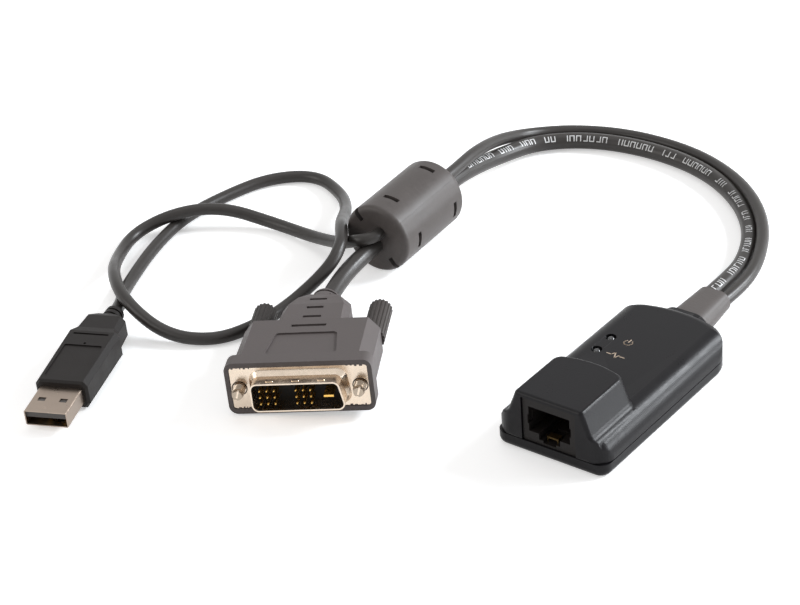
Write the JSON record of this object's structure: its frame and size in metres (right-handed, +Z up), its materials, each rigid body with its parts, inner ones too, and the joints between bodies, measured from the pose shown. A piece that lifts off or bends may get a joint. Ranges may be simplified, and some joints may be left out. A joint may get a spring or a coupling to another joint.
{
  "type": "server interface dongle",
  "caption": "Small plastic pod with a modular network jack at one end and a double cable at the other, through a ferrite to a video plug and a USB plug.",
  "frame": {"origin": "middle of the pod's footprint, on the table", "axes": "+X across the pod, +Y from the jack towards the cables, +Z up from the table"},
  "size_m": [0.1827, 0.2156, 0.0205],
  "materials": {
    "pod_plastic": "fine-grained dark grey moulded plastic",
    "jack_plastic": "dark grey-brown moulded plastic",
    "insulator_plastic": "black moulded plastic",
    "hood_plastic": "fine-grained mid grey moulded plastic",
    "plug_plastic": "fine-grained dark grey moulded plastic",
    "knob_plastic": "dark grey fluted plastic",
    "ferrite_plastic": "smooth dark grey moulded plastic",
    "sleeve_rubber": "satin grey flexible moulding",
    "cable_jacket": "satin dark grey cable jacket",
    "nickel_plate": "nickel-plated steel",
    "screw_steel": "zinc-plated steel",
    "gold_contact": "gold-plated contacts",
    "brass_clip": "plain brass strip",
    "board_green": "green laminate with solder mask",
    "chip_plastic": "black moulded package",
    "led_lens": "clear moulded lens",
    "ferrite_ceramic": "dark sintered ferrite"
  },
  "bodies": {
    "root": {"upper_shell": "pod_plastic", "lower_shell": "pod_plastic", "shell_screws": "screw_steel", "circuit_board": "board_green", "jack_housing": "jack_plastic", "jack_contacts": "gold_contact", "jack_ground_clip": "brass_clip", "line_transformer": "chip_plastic", "main_chip": "chip_plastic", "memory_chip": "chip_plastic", "crystal": "nickel_plate", "wire_header": "jack_plastic", "power_led": "led_lens", "active_led": "led_lens", "cable_sleeve": "sleeve_rubber", "video_hood": "hood_plastic", "video_shield": "nickel_plate", "video_insulator": "insulator_plastic", "video_pins": "gold_contact", "video_ground_blade": "gold_contact", "usb_overmould": "plug_plastic", "usb_shell": "nickel_plate", "usb_tongue": "insulator_plastic", "usb_contacts": "gold_contact", "ferrite_core": "ferrite_ceramic", "ferrite_jacket": "ferrite_plastic", "usb_cable": "cable_jacket", "video_cable": "cable_jacket"},
    "left_thumbscrew": {"left_knob": "knob_plastic", "left_screw": "nickel_plate"},
    "right_thumbscrew": {"right_knob": "knob_plastic", "right_screw": "nickel_plate"}
  },
  "joints": [
    {"name": "left_thumbscrew_turn", "type": "hinge", "parent": "root", "child": "left_thumbscrew", "pos_m": [-0.08995, -0.03927, 0.00699], "axis": [-0.4934, 0.8682, -0.0523], "continuous": true},
    {"name": "right_thumbscrew_turn", "type": "hinge", "parent": "root", "child": "right_thumbscrew", "pos_m": [-0.06239, -0.0235, 0.00866], "axis": [-0.4934, 0.8682, -0.0523], "continuous": true}
  ]
}
